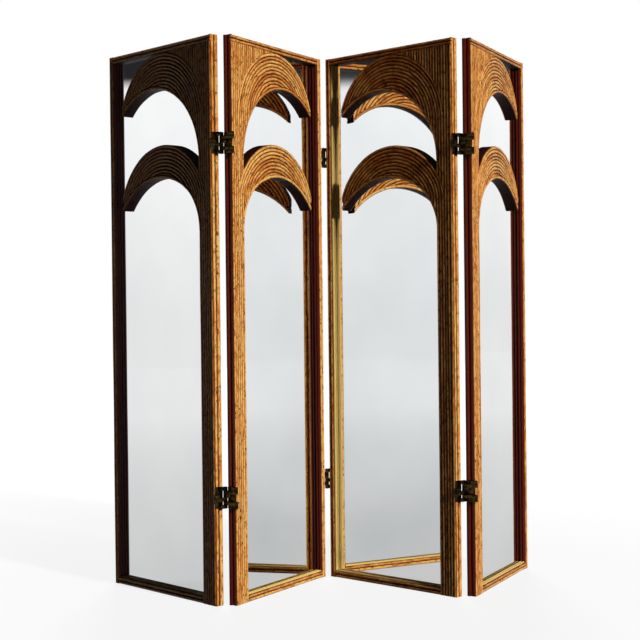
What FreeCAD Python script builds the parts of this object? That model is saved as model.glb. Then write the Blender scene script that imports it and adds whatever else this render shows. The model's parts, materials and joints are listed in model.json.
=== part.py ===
import FreeCAD, Part
import math
import os

# A free-standing folding screen of four panels on double-acting hinges, shown part folded.
# Each panel is a wooden frame round a mirror, faced with split reed. Two reed-faced arches
# stand on the mirror and spring from the panel's wide stile.
# Millimetres. In a panel X runs from the wide stile's outer edge, Y from the reeds' crests
# to the back, Z up. Heights named as a drop are measured down from the panel's top.

# Panels, from left to right
PANEL_WIDTH = 600.0
PANEL_HEIGHT = 1900.0
PANEL_DEPTH = 35.0
PANEL_1_HEADING = -48.4
PANEL_2_HEADING = 60.3
PANEL_3_HEADING = -45.0
PANEL_4_HEADING = 65.1

# Split reeds
REED_WIDTH = 12.0
REED_RISE = 5.5
CROWN_SHARE = 0.46
WIDE_STILE_REEDS = 6
OUTER_COLUMN_REEDS = 3
NARROW_STILE_REEDS = 2
RAIL_REEDS = 2
EDGE_REEDS = 2
LINING_REEDS = 2
LINING_RISE = 4.0
SHORTEST_REED = 8.0
REEDS_PER_RIB = 2
STEEPEST_SAW_CUT = 3.0

# Mirror and back, held in a rebate of the frame
GLASS_THICKNESS = 4.0
BACKING_THICKNESS = 6.0
REBATE_LAP = 8.0
GLASS_CLEARANCE = 0.3

# Arches: a crown's drop, how far an edge's circle reaches past the arch's cut end, and on the
# lower arch the smaller radius of the haunch, with the sidestep of the crown's circle past it
ARCH_END_GAP = 80.0
UPPER_OUTER_REACH = 16.0
UPPER_INNER_REACH = 82.0
UPPER_INNER_CROWN = 147.0
LOWER_OUTER_REACH = 22.0
LOWER_OUTER_CROWN = 343.0
LOWER_OUTER_HAUNCH = 150.0
LOWER_OUTER_SIDESTEP = 18.0
LOWER_INNER_REACH = 67.0
LOWER_INNER_CROWN = 457.0
LOWER_INNER_HAUNCH = 180.0
LOWER_INNER_SIDESTEP = 55.0
HALF_TURN = 180.0
PAST_END_SWEEP = 150.0

# Hinges: two at each junction, each with a front and a back line of pivots
FLAT_GAP = 15.0
PIVOT_STANDOFF = 3.5
HINGE_INSET = 360.0
HINGE_HEIGHT = 72.0
MIDDLE_HEIGHT = 24.0
LEAF_THICKNESS = 3.0
LEAF_INSET = 0.5
EAR_REACH = 5.0
EAR_ROOT = 8.0
STRAP_WIDTH = 8.0
PIN_RADIUS = 2.5
PIN_CLEARANCE = 0.05
SLIDE_CLEARANCE = 0.3
REED_CUT_CLEARANCE = 1.0

core_depth = PANEL_DEPTH - REED_RISE
core_edge = REED_RISE
glass_front = PANEL_DEPTH - BACKING_THICKNESS - GLASS_THICKNESS
wide_stile = WIDE_STILE_REEDS * REED_WIDTH
outer_columns = OUTER_COLUMN_REEDS * REED_WIDTH
rail_height = RAIL_REEDS * REED_WIDTH
far_stile = PANEL_WIDTH - NARROW_STILE_REEDS * REED_WIDTH
arch_end = PANEL_WIDTH - ARCH_END_GAP
hinge_heights = (HINGE_INSET, PANEL_HEIGHT - HINGE_INSET)
front_pivot = -PIVOT_STANDOFF
back_pivot = PANEL_DEPTH + PIVOT_STANDOFF

AXIS_X = FreeCAD.Vector(1, 0, 0)
AXIS_Y = FreeCAD.Vector(0, 1, 0)
AXIS_Z = FreeCAD.Vector(0, 0, 1)


class Arc:
    """Part of a circle in the panel's face; a sweep of 0 is the springing side, 90 the top."""

    def __init__(self, x, z, radius, start, end):
        self.x = x
        self.z = z
        self.radius = radius
        self.start = start
        self.end = end

    def point(self, sweep, y=0.0, offset=0.0):
        reach = self.radius + offset
        angle = math.radians(sweep)
        return FreeCAD.Vector(self.x - reach * math.cos(angle), y, self.z + reach * math.sin(angle))

    def sweep_at(self, x, offset=0.0):
        return math.degrees(math.acos((self.x - x) / (self.radius + offset)))

    def height_at(self, x, offset=0.0):
        return self.z + (self.radius + offset) * math.sin(math.radians(self.sweep_at(x, offset)))

    def edge(self, start, end, y=0.0, offset=0.0):
        middle = (start + end) / 2
        points = [self.point(sweep, y, offset) for sweep in (start, middle, end)]
        return Part.Arc(*points).toShape()


def round_arch(spring_x, reach, crown):
    """An arch edge of one circle that meets the vertical line at spring_x."""
    radius = (arch_end + reach - spring_x) / 2
    return [Arc(spring_x + radius, PANEL_HEIGHT - crown - radius, radius, 0.0, HALF_TURN)]


def haunched_arch(spring_x, reach, crown, haunch, sidestep):
    """An arch edge that rises from the vertical on a haunch and passes into a wider crown."""
    radius = (arch_end + reach - spring_x + sidestep) / 2
    x = spring_x + radius - sidestep
    z = PANEL_HEIGHT - crown - radius
    rise = math.sqrt(sidestep * (2 * (radius - haunch) - sidestep))
    meeting = math.degrees(math.atan2(rise, x - spring_x - haunch))
    low = Arc(spring_x + haunch, z + rise, haunch, 0.0, meeting)
    return [low, Arc(x, z, radius, meeting, HALF_TURN)]


upper_outer = round_arch(outer_columns, UPPER_OUTER_REACH, rail_height)
upper_inner = round_arch(wide_stile, UPPER_INNER_REACH, UPPER_INNER_CROWN)
lower_outer = haunched_arch(
    outer_columns, LOWER_OUTER_REACH, LOWER_OUTER_CROWN, LOWER_OUTER_HAUNCH, LOWER_OUTER_SIDESTEP
)
lower_inner = haunched_arch(
    wide_stile, LOWER_INNER_REACH, LOWER_INNER_CROWN, LOWER_INNER_HAUNCH, LOWER_INNER_SIDESTEP
)


def box(x0, x1, y0, y1, z0, z1):
    return Part.makeBox(x1 - x0, y1 - y0, z1 - z0, FreeCAD.Vector(x0, y0, z0))


def line(a, b):
    return Part.makeLine(a, b)


def prism(edges, depth):
    """A plate from edges that run round it in the plane of its front."""
    return Part.Face(Part.Wire(edges)).extrude(AXIS_Y * depth)


def end_sweep(arc, offset=0.0):
    return arc.sweep_at(arch_end, offset)


def space_below(edge, offset=0.0):
    """The part of a panel's front under an arch edge, as deep as the reeds."""
    y = -REED_RISE
    floor = min(arc.z for arc in edge)
    edges = []
    for arc in edge:
        end = PAST_END_SWEEP if arc is edge[-1] else arc.end
        edges.append(arc.edge(arc.start, end, y, offset))
    first = edge[0].point(edge[0].start, y, offset)
    last = edge[-1].point(PAST_END_SWEEP, y, offset)
    low_last = FreeCAD.Vector(last.x, y, floor - PANEL_DEPTH)
    low_first = FreeCAD.Vector(first.x, y, floor - PANEL_DEPTH)
    edges.append(line(last, low_last))
    edges.append(line(low_last, low_first))
    edges.append(line(low_first, first))
    return prism(edges, 3 * REED_RISE)


def reed(corner, across, rise, along, width=REED_WIDTH, height=REED_RISE):
    """A straight split reed: a flat base, two flanks and a crown."""
    shoulder = width * (1 - CROWN_SHARE) / 2
    points = [
        corner,
        corner + across * shoulder + rise * height,
        corner + across * (width - shoulder) + rise * height,
        corner + across * width,
        corner,
    ]
    return Part.Face(Part.makePolygon(points)).extrude(along)


def column(x, high_drop, low_drop):
    """A vertical front reed between two drops."""
    foot = FreeCAD.Vector(x, core_edge, PANEL_HEIGHT - low_drop)
    return reed(foot, AXIS_X, -AXIS_Y, AXIS_Z * (low_drop - high_drop))


def edge_height(edge, x, offset):
    for arc in edge:
        if x <= arc.point(arc.end, 0.0, offset).x:
            return arc.height_at(x, offset)


def cut_column(x, high_drop, edge, offset=0.0):
    """A front reed that stands on an arch edge: sawn straight, or to the curve where it is steep."""
    left = edge_height(edge, x, offset)
    right = edge_height(edge, x + REED_WIDTH, offset)
    slope = (right - left) / REED_WIDTH
    if PANEL_HEIGHT - high_drop - left < SHORTEST_REED:
        return []
    whole = column(x, high_drop, PANEL_HEIGHT - left)
    if slope > STEEPEST_SAW_CUT:
        return whole.cut(space_below(edge, offset)).Solids
    middle = edge_height(edge, x + REED_WIDTH / 2, offset)
    corners = (
        (x - REED_WIDTH, middle - 1.5 * REED_WIDTH * slope),
        (x + 2 * REED_WIDTH, middle + 1.5 * REED_WIDTH * slope),
        (x + 2 * REED_WIDTH, left - 2 * REED_WIDTH * (1 + slope)),
        (x - REED_WIDTH, left - 2 * REED_WIDTH * (1 + slope)),
    )
    points = [FreeCAD.Vector(a, -REED_RISE, b) for a, b in corners]
    waste = Part.Face(Part.makePolygon(points + points[:1])).extrude(AXIS_Y * 3 * REED_RISE)
    return whole.cut(waste).Solids


def bent(points, arc, start, end):
    """A profile in the springing plane of an arc, swept round it from start to end."""
    face = Part.Face(Part.makePolygon(points + points[:1]))
    centre = FreeCAD.Vector(arc.x, 0, arc.z)
    face.rotate(centre, AXIS_Y, start)
    return face.revolve(centre, AXIS_Y, end - start)


def ridge_points(arc, outside, width, count):
    """A row of bent ridges from a radius inwards, in the springing plane of their arc."""
    start = arc.x - outside
    points = [FreeCAD.Vector(start, core_edge, arc.z)]
    for index in range(count):
        points.append(FreeCAD.Vector(start + (index + 0.5) * width, 0, arc.z))
        points.append(FreeCAD.Vector(start + (index + 1) * width, core_edge, arc.z))
    return points


def swept(edge, profile):
    """A profile carried along every arc of an edge, past the arch's cut end."""
    parts = []
    for arc in edge:
        end = PAST_END_SWEEP if arc is edge[-1] else arc.end
        parts.append(bent(profile(arc), arc, arc.start, end))
    shape = parts[0]
    for part in parts[1:]:
        shape = shape.fuse(part)
    return shape


beyond_end = box(arch_end, 2 * PANEL_WIDTH, -PANEL_DEPTH, PANEL_DEPTH, 0, PANEL_HEIGHT)


def arch_reeds(outer, inner):
    """The bent reeds of one arch, laid as ribs, and the trim reed along its inner edge."""
    crown, trim = outer[-1], inner[-1]
    spread = math.hypot(crown.x - trim.x, crown.z - trim.z)
    nearest = trim.radius + REED_WIDTH - spread
    rib = REEDS_PER_RIB * REED_WIDTH
    count = math.ceil((crown.radius - nearest) / rib)
    ribs = swept(outer, lambda arc: ridge_points(arc, arc.radius, rib, count))
    ribs = ribs.cut(space_below(inner, REED_WIDTH)).cut(beyond_end)
    trim_reed = swept(inner, lambda arc: ridge_points(arc, arc.radius + REED_WIDTH, REED_WIDTH, 1))
    return ribs.Solids + trim_reed.cut(beyond_end).Solids


def front_reeds():
    upper_spring = PANEL_HEIGHT - upper_outer[0].z
    upper_foot = PANEL_HEIGHT - upper_inner[0].z
    lower_spring = PANEL_HEIGHT - lower_outer[0].z
    lower_foot = PANEL_HEIGHT - lower_inner[0].z
    last_column = wide_stile - REED_WIDTH
    solids = []
    for index in range(RAIL_REEDS):
        top = FreeCAD.Vector(0, core_edge, PANEL_HEIGHT - (index + 1) * REED_WIDTH)
        bottom = FreeCAD.Vector(wide_stile, core_edge, index * REED_WIDTH)
        solids.append(reed(top, AXIS_Z, -AXIS_Y, AXIS_X * far_stile))
        solids.append(reed(bottom, AXIS_Z, -AXIS_Y, AXIS_X * (far_stile - wide_stile)))
    for index in range(NARROW_STILE_REEDS):
        solids.append(column(far_stile + index * REED_WIDTH, 0, PANEL_HEIGHT))
    for index in range(OUTER_COLUMN_REEDS):
        solids.append(column(index * REED_WIDTH, rail_height, PANEL_HEIGHT))
    x = outer_columns
    while x + REED_WIDTH < upper_outer[0].x:
        solids += cut_column(x, rail_height, upper_outer)
        if x < last_column:
            solids += cut_column(x, upper_spring, lower_outer)
            solids.append(column(x, lower_spring, PANEL_HEIGHT))
        else:
            solids += cut_column(x, upper_spring, upper_inner, REED_WIDTH)
            solids += cut_column(x, lower_spring, lower_inner, REED_WIDTH)
        x += REED_WIDTH
    solids += cut_column(last_column, upper_foot, lower_outer)
    solids.append(column(last_column, lower_foot, PANEL_HEIGHT))
    solids += arch_reeds(upper_outer, upper_inner)
    solids += arch_reeds(lower_outer, lower_inner)
    return solids


def edge_runs(hinged):
    """The lengths of an edge that reeds cover, from the floor up, clear of its hinges."""
    half = HINGE_HEIGHT / 2 + REED_CUT_CLEARANCE
    cuts = [z + side * half for z in hinge_heights for side in (-1, 1)] if hinged else []
    ends = [0.0] + cuts + [PANEL_HEIGHT]
    return list(zip(ends[0::2], ends[1::2]))


def edge_reeds(far_hinged):
    width = core_depth / EDGE_REEDS
    lining_width = (glass_front - core_edge) / LINING_REEDS
    solids = []
    for index in range(EDGE_REEDS):
        y = core_edge + index * width
        for low, high in edge_runs(True):
            foot = FreeCAD.Vector(core_edge, y, low)
            solids.append(reed(foot, AXIS_Y, -AXIS_X, AXIS_Z * (high - low), width))
        for low, high in edge_runs(far_hinged):
            foot = FreeCAD.Vector(PANEL_WIDTH - core_edge, y, low)
            solids.append(reed(foot, AXIS_Y, AXIS_X, AXIS_Z * (high - low), width))
    for index in range(LINING_REEDS):
        foot = FreeCAD.Vector(far_stile, core_edge + index * lining_width, rail_height)
        length = PANEL_HEIGHT - 2 * rail_height
        solids.append(reed(foot, AXIS_Y, -AXIS_X, AXIS_Z * length, lining_width, LINING_RISE))
    return solids


def upper_arch_board():
    outer, inner = upper_outer[0], upper_inner[0]
    y = core_edge
    outer_end, inner_end = end_sweep(outer), end_sweep(inner)
    corner = FreeCAD.Vector(wide_stile, y, PANEL_HEIGHT - rail_height)
    edges = [
        line(corner, outer.point(90.0, y)),
        outer.edge(90.0, outer_end, y),
        line(outer.point(outer_end, y), inner.point(inner_end, y)),
        inner.edge(inner_end, 0.0, y),
        line(inner.point(0.0, y), corner),
    ]
    return prism(edges, glass_front - core_edge)


def lower_arch_board():
    outer, haunch, inner = lower_outer[-1], lower_inner[0], lower_inner[1]
    y = core_edge
    outer_start, outer_end = outer.sweep_at(wide_stile), end_sweep(outer)
    inner_end = end_sweep(inner)
    edges = [
        outer.edge(outer_start, outer_end, y),
        line(outer.point(outer_end, y), inner.point(inner_end, y)),
        inner.edge(inner_end, inner.start, y),
        haunch.edge(haunch.end, 0.0, y),
        line(haunch.point(0.0, y), outer.point(outer_start, y)),
    ]
    return prism(edges, glass_front - core_edge)


def panel_pieces(far_hinged):
    """Every piece of a panel that has its wide stile on the left."""
    lap = REBATE_LAP
    top = PANEL_HEIGHT
    low, high = rail_height - lap, top - rail_height + lap
    near, far = wide_stile - lap, far_stile + lap
    fit = GLASS_CLEARANCE
    rebate = box(near, far, glass_front, 2 * PANEL_DEPTH, low, high)
    sheet = (near + fit, far - fit, low + fit, high - fit)
    glass_back = glass_front + GLASS_THICKNESS

    def frame_part(x0, x1, z0, z1):
        return [box(x0, x1, core_edge, PANEL_DEPTH, z0, z1).cut(rebate)]

    def plate(y0, y1):
        return [box(sheet[0], sheet[1], y0, y1, sheet[2], sheet[3])]

    return {
        "wide_stile": frame_part(core_edge, wide_stile, 0, top),
        "narrow_stile": frame_part(far_stile, PANEL_WIDTH - core_edge, 0, top),
        "top_rail": frame_part(wide_stile, far_stile, top - rail_height, top),
        "bottom_rail": frame_part(wide_stile, far_stile, 0, rail_height),
        "upper_arch_board": [upper_arch_board()],
        "lower_arch_board": [lower_arch_board()],
        "mirror": plate(glass_front, glass_back),
        "backing_board": plate(glass_back, PANEL_DEPTH),
        "front_reeds": front_reeds(),
        "edge_reeds": edge_reeds(far_hinged),
    }


# Hinge pieces stand in a junction's frame: X across the open gap from its middle, Y as in
# the panels, Z from the hinge's own middle. A strap joins one leaf's front line of pivots
# to the other leaf's back line, so the panels can fold either way.

middle_half = MIDDLE_HEIGHT / 2
hinge_half = HINGE_HEIGHT / 2
outer_low = middle_half + SLIDE_CLEARANCE
outer_mid = (outer_low + hinge_half) / 2


def ear(line_y, low, high, turning):
    """A leaf's lug at a line of pivots, bored where its strap turns in it."""
    inward = 1 if line_y < PANEL_DEPTH / 2 else -1
    plate_face = -FLAT_GAP / 2 - core_edge + LEAF_THICKNESS
    plate_end = core_edge + LEAF_INSET if inward > 0 else PANEL_DEPTH - core_edge - LEAF_INSET
    root = plate_end + inward * EAR_ROOT
    tip = line_y - inward * EAR_REACH
    outline = (
        (plate_face, root),
        (EAR_REACH, root),
        (EAR_REACH, tip),
        (-EAR_REACH, tip),
        (-EAR_REACH, plate_end),
        (plate_face, plate_end),
    )
    points = [FreeCAD.Vector(x, y, low) for x, y in outline]
    lug = Part.Face(Part.makePolygon(points + points[:1])).extrude(AXIS_Z * (high - low))
    if turning:
        foot = FreeCAD.Vector(0, line_y, low)
        lug = lug.cut(Part.makeCylinder(PIN_RADIUS + PIN_CLEARANCE, high - low, foot))
    return lug


def leaf(middle_turns, outer_slides):
    """The left leaf of a hinge, on its panel's edge, with the lugs that grip three straps."""
    outside = -FLAT_GAP / 2 - core_edge
    y0 = core_edge + LEAF_INSET
    shape = box(outside, outside + LEAF_THICKNESS, y0, PANEL_DEPTH - y0, -hinge_half, hinge_half)
    middle_low = SLIDE_CLEARANCE if middle_turns else 0.0
    outer_start = outer_mid + (SLIDE_CLEARANCE if outer_slides else 0.0)
    shape = shape.fuse(ear(front_pivot, middle_low, middle_half, middle_turns))
    shape = shape.fuse(ear(back_pivot, outer_start, hinge_half, False))
    shape = shape.fuse(ear(back_pivot, -hinge_half, -outer_start, False))
    return shape.removeSplitter()


def across_hinge(shape):
    shape = shape.copy()
    shape.rotate(FreeCAD.Vector(0, PANEL_DEPTH / 2, 0), AXIS_Z, 180)
    return shape


def strap(low, high):
    half = STRAP_WIDTH / 2
    return box(-half, half, front_pivot - EAR_REACH, back_pivot + EAR_REACH, low, high)


def pin(pivot, low, high):
    return Part.makeCylinder(PIN_RADIUS, high - low, FreeCAD.Vector(0, pivot, low))


def hinge_pieces(back_fold):
    pivot = back_pivot if back_fold else front_pivot
    pieces = {
        "left_leaves": [leaf(not back_fold, back_fold)],
        "right_leaves": [across_hinge(leaf(back_fold, not back_fold))],
        "middle_straps": [strap(-middle_half, 0.0)],
        "outer_straps": [strap(outer_low, outer_mid), strap(-outer_mid, -outer_low)],
        "pins": [pin(pivot, 0.0, middle_half)],
    }
    return {
        name: [solid.translated(AXIS_Z * z) for z in hinge_heights for solid in solids]
        for name, solids in pieces.items()
    }


def placed(solids, placement, offset=0.0):
    moved = []
    for solid in solids:
        copy = solid.translated(AXIS_X * offset)
        copy.Placement = placement.multiply(copy.Placement)
        moved.append(copy)
    return moved


headings = (PANEL_1_HEADING, PANEL_2_HEADING, PANEL_3_HEADING, PANEL_4_HEADING)
back_folds = (True, False, True)
left_offset = PANEL_WIDTH + FLAT_GAP / 2
right_offset = -FLAT_GAP / 2

# Panels stand in turn, each turned to its heading about the pivot that it shares with the last
placements = []
pivots = []
for heading in headings:
    turn = FreeCAD.Rotation(AXIS_Z, heading)
    base = FreeCAD.Vector(0, 0, 0)
    if placements:
        y = back_pivot if back_folds[len(pivots)] else front_pivot
        pivot = placements[-1].multVec(FreeCAD.Vector(left_offset, y, 0))
        pivots.append(pivot)
        base = pivot - turn.multVec(FreeCAD.Vector(right_offset, y, 0))
    placements.append(FreeCAD.Placement(base, turn))

nodes = {}
shared = {True: panel_pieces(True), False: panel_pieces(False)}
for index, placement in enumerate(placements):
    pieces = shared[0 < index < 3]
    wide_on_right = index % 2 == 0
    for name, solids in pieces.items():
        if wide_on_right:
            middle = FreeCAD.Vector(PANEL_WIDTH / 2, 0, 0)
            solids = [solid.mirror(middle, AXIS_X) for solid in solids]
        nodes["panel_%d_%s" % (index + 1, name)] = placed(solids, placement)

for index, back_fold in enumerate(back_folds):
    stays_left = ("left_leaves", "middle_straps", "pins")
    if not back_fold:
        stays_left = ("left_leaves", "outer_straps")
    for name, solids in hinge_pieces(back_fold).items():
        on_left = name in stays_left
        side = placements[index] if on_left else placements[index + 1]
        offset = left_offset if on_left else right_offset
        key = "hinge_%d_%d_%s" % (index + 1, index + 2, name)
        nodes[key] = placed(solids, side, offset)

# The origin is on the floor, under the middle of the whole screen's outline
everything = Part.makeCompound([solid for solids in nodes.values() for solid in solids])
bounds = everything.BoundBox
shift = FreeCAD.Vector(-bounds.Center.x, -bounds.Center.y, -bounds.ZMin)

os.makedirs("parts", exist_ok=True)
for name, solids in nodes.items():
    group = Part.makeCompound([solid.translated(shift) for solid in solids])
    group.exportStep("parts/%s.step" % name)

for index, pivot in enumerate(pivots):
    pivot = pivot + shift
    print("pivot %d %d: %.4f %.4f mm" % (index + 1, index + 2, pivot.x, pivot.y))
print("size: %.2f x %.2f x %.2f mm" % (bounds.XLength, bounds.YLength, bounds.ZLength))
print("nodes: %d" % len(nodes))
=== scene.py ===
import json
import math
import random

import bpy
from mathutils import Matrix, Vector


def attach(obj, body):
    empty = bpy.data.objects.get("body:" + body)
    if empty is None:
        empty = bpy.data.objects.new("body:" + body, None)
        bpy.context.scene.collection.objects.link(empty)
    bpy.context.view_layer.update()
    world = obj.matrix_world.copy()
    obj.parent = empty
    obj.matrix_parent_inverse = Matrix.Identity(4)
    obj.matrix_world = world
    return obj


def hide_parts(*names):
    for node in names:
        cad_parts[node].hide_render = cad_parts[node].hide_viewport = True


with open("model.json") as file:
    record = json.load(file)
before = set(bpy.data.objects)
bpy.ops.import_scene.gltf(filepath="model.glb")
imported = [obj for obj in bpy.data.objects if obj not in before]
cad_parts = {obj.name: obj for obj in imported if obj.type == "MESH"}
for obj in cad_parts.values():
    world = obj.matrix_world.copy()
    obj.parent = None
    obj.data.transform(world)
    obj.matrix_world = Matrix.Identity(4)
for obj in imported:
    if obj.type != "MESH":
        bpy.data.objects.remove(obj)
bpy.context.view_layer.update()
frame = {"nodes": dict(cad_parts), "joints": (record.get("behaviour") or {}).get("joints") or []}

bl_info = {
    "name": "Reed folding screen",
    "version": (1, 0, 0),
    "blender": (4, 5, 0),
    "location": "View3D > Sidebar > Reed Screen",
    "description": (
        "Builds the looks of a four-panel mirrored folding screen faced with split reed"
    ),
    "category": "Object",
}


def length(name, description, default):
    return bpy.props.FloatProperty(
        name=name,
        description=description,
        default=default,
        min=0.0,
        precision=5,
        subtype="DISTANCE",
        unit="LENGTH",
    )


def colour(name, description, hex_code):
    return bpy.props.FloatVectorProperty(
        name=name,
        description=description,
        default=linear(hex_code)[:3],
        size=3,
        min=0.0,
        max=1.0,
        subtype="COLOR",
    )


def linear(hex_code):
    """An sRGB hex colour as linear red, green, blue and full alpha."""
    channels = [int(hex_code[i : i + 2], 16) / 255 for i in (1, 3, 5)]
    light = [c / 12.92 if c <= 0.04045 else ((c + 0.055) / 1.055) ** 2.4 for c in channels]
    return (*light, 1.0)


class PanelSizes(bpy.types.PropertyGroup):
    """Sizes that the panels share with the CAD part, in metres."""

    width: length("Width", "Panel from edge to edge", 0.6)
    height: length("Height", "Panel from floor to top", 1.9)
    depth: length("Depth", "Panel from the reeds' crests to the back", 0.035)
    glass_front: length("Glass front", "From the reeds' crests to the mirror", 0.025)
    end_gap: length("Arch end gap", "From an arch's cut end to the panel's far edge", 0.08)
    flat_gap: length("Flat gap", "Open gap between two panels in line", 0.015)
    standoff: length("Pivot standoff", "Pivot line outside the panel's face", 0.0035)
    hinge_inset: length("Hinge inset", "Hinge's middle from the panel's end", 0.36)
    hinge_half: length("Hinge half", "Half of a hinge's height", 0.036)


class ReedSizes(bpy.types.PropertyGroup):
    """Sizes of the split reeds, in metres."""

    pitch: length("Pitch", "From one front reed to the next", 0.012)
    groove: length("Groove", "Open joint between two reeds", 0.0003)
    rise: length("Rise", "Crest of a reed over its base", 0.0055)
    lining_rise: length("Lining rise", "Crest of a lining reed over its base", 0.004)
    waver: length("Waver", "How far a hand-laid reed strays", 0.0006)
    hinge_room: length("Hinge room", "Edge reeds stop this far from a hinge", 0.001)


class HingeSizes(bpy.types.PropertyGroup):
    """Sizes of the double-acting hinges, in metres."""

    knuckle: length("Knuckle", "Radius of a knuckle or of a strap's end", 0.0071)
    plate_back: length("Plate back", "Leaf's seat from the middle of the gap", 0.013)
    plate_face: length("Plate face", "Leaf's face from the middle of the gap", 0.0077)
    plate_margin: length("Plate margin", "Leaf's edge from the panel's front or back", 0.001)
    arm: length("Arm", "Length of the arm that carries a knuckle", 0.0125)
    foot: length("Foot", "Half the width of an arm's foot on its leaf", 0.0045)
    middle: length("Middle zone", "Height of the middle strap and of its knuckle", 0.012)
    outer: length("Outer zone", "Top of the outer straps over the hinge's middle", 0.02415)
    play: length("Play", "Gap between parts that turn on each other", 0.0003)
    edge: length("Edge", "Round on the metal's edges", 0.0006)
    pin: length("Pin", "Radius of a pin", 0.0025)
    screw: length("Screw", "Radius of a screw's head", 0.0032)
    slot: length("Slot", "Half the width of a screw's slot", 0.0004)


class ScreenColours(bpy.types.PropertyGroup):
    """Colours of the screen's materials."""

    reed_dark: colour("Reed dark", "Brown reeds", "#8C3E12")
    reed_mid: colour("Reed middle", "Amber reeds", "#D47A2E")
    reed_pale: colour("Reed pale", "Straw reeds", "#F2BB68")
    knot: colour("Knot", "Burnt knots and specks", "#43200A")
    # The colour each cane darkens to at its two sides
    groove: colour("Groove", "Stain left between the canes", "#431607")
    straw: colour("Bare straw", "Unstained lining canes", "#FADA80")
    # Painted shade: the dark red laid over the canes of faces that stand in shade
    painted_shade_red: colour("Mahogany stain", "Red-brown stain over a cane", "#540B07")
    wood: colour("Stained wood", "Maroon-brown stain", "#3A140D")
    wood_dark: colour("Stained wood grain", "Dark grain of the stain", "#1C0806")
    ply: colour("Plywood", "Back boards", "#8C6038")
    ply_dark: colour("Plywood grain", "Grain of the back boards", "#6A4425")
    silver: colour("Silvering", "Clear part of a mirror", "#FBFCFC")
    silver_dull: colour("Dull silvering", "Clouded part of a mirror", "#F4F6F7")
    brass: colour("Aged brass", "Hinges", "#5E4A28")
    brass_dark: colour("Tarnish", "Dark patches on the hinges", "#1E160C")
    steel: colour("Steel", "Hinge pins", "#8C8C8A")
    steel_dark: colour("Dull steel", "Dull patches on the pins", "#5A5A58")
    paper: colour("Paper", "Studio floor under its own glow", "#666666")
    paper_dark: colour("Paper tooth", "Hollows of the paper", "#5C5C5C")
    paper_bounce: colour("Paper bounce", "What the floor throws back up", "#2E2E2E")


# How far each panel is turned from the X axis, in degrees, as in the CAD part
HEADINGS = (-48.4, 60.3, -45.0, 65.1)
JOINTS = {joint["name"]: joint for joint in frame["joints"]}
PIVOTS = [JOINTS[name]["pos_m"] for name in ("fold_1_2", "fold_2_3", "fold_3_4")]

# Canes side by side on each member
RAIL_REEDS, OUTER_REEDS, STILE_REEDS = 2, 3, 6
EDGE_REEDS, LINING_REEDS = 2, 2
# Upright canes over the upper arch, and bent canes in each arch
SPANDREL_REEDS, UPPER_BENDS, LOWER_BENDS = 20, 10, 9
# Canes past the outer ones: those that run on down the stile, and those that reach an arch's foot
WHOLE_REEDS, FOOT_REEDS = 2, 6

# Sides of a full round, how fine a cane or a cutter is divided, and where shading has an edge
CANE_SIDES, KNUCKLE_SIDES, PIN_SIDES = 12, 18, 16
STRAIGHT_STEP = 0.2
BEND_DEGREES, CUTTER_DEGREES = 5, 2
CANE_SMOOTH, METAL_SMOOTH = math.radians(50), math.radians(40)
MERGE = 1e-6

# A cutter reaches this far under its arch, before the crests and through the panel
CUTTER_BELOW, CUTTER_BEFORE, CUTTER_DEPTH = 0.05, 0.02, 0.06

# Seeds of the canes' numbers and of their waver
FACING_SEED, EDGE_SEED = 11, 30
FACING_WAVER_SEED, EDGE_WAVER_SEED = 4, 9
# The front canes' vertices are put in order of their distance from this place
SORT_PLACE = (-0.713, -0.219, -0.387)

# The photograph's viewpoint: place, pitch and roll, and the focal length in its pixels
CAMERA_PLACE = (-0.0112, -5.1599, 0.9834)
CAMERA_PITCH, CAMERA_ROLL = -0.00733, -0.01084
FOCAL_PIXELS, FRAME_PIXELS = 1457.29, 640
SENSOR_WIDTH = 36.0


def panels():
    return bpy.context.scene.screen_panels


def reeds():
    return bpy.context.scene.screen_reeds


def hinges():
    return bpy.context.scene.screen_hinges


def colours(name):
    return (*getattr(bpy.context.scene.screen_colours, name), 1.0)


# Selecting and finishing, as by hand in the 3D view


def activate(*objects):
    bpy.ops.object.select_all(action="DESELECT")
    for item in objects:
        item.select_set(True)
    bpy.context.view_layer.objects.active = objects[0]
    return objects[0]


def edit(obj):
    activate(obj)
    bpy.ops.object.mode_set(mode="EDIT")
    bpy.ops.mesh.select_all(action="SELECT")


def end_edit():
    bpy.ops.object.mode_set(mode="OBJECT")
    return bpy.context.object


def end_outward():
    """Turns the normals outwards and ends the edit."""
    bpy.ops.mesh.select_all(action="SELECT")
    bpy.ops.mesh.normals_make_consistent(inside=False)
    return end_edit()


def pick(obj, test):
    """Selects the vertices whose place passes a test, from edit mode and back."""
    bpy.ops.object.mode_set(mode="OBJECT")
    for polygon in obj.data.polygons:
        polygon.select = False
    for edge in obj.data.edges:
        edge.select = False
    for vertex in obj.data.vertices:
        vertex.select = test(vertex.co)
    bpy.ops.object.mode_set(mode="EDIT")


def joined(objects, name):
    activate(*objects)
    if len(objects) > 1:
        bpy.ops.object.join()
    result = bpy.context.object
    bpy.ops.object.transform_apply(location=True, rotation=True, scale=True)
    result.name = name
    result.data.name = name
    return result


def copied(obj):
    activate(obj)
    bpy.ops.object.duplicate(linked=False)
    return bpy.context.object


def closed(obj):
    """Merges doubles and turns the normals outwards."""
    edit(obj)
    bpy.ops.mesh.remove_doubles(threshold=MERGE)
    return end_outward()


def carve(obj, tool):
    """Takes the tool's shape out of an object."""
    cut = obj.modifiers.new("carve", "BOOLEAN")
    cut.operation = "DIFFERENCE"
    cut.solver = "EXACT"
    cut.object = tool
    activate(obj)
    bpy.ops.object.modifier_apply(modifier=cut.name)
    return obj


def discard(*objects):
    activate(*objects)
    bpy.ops.object.delete()


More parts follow.
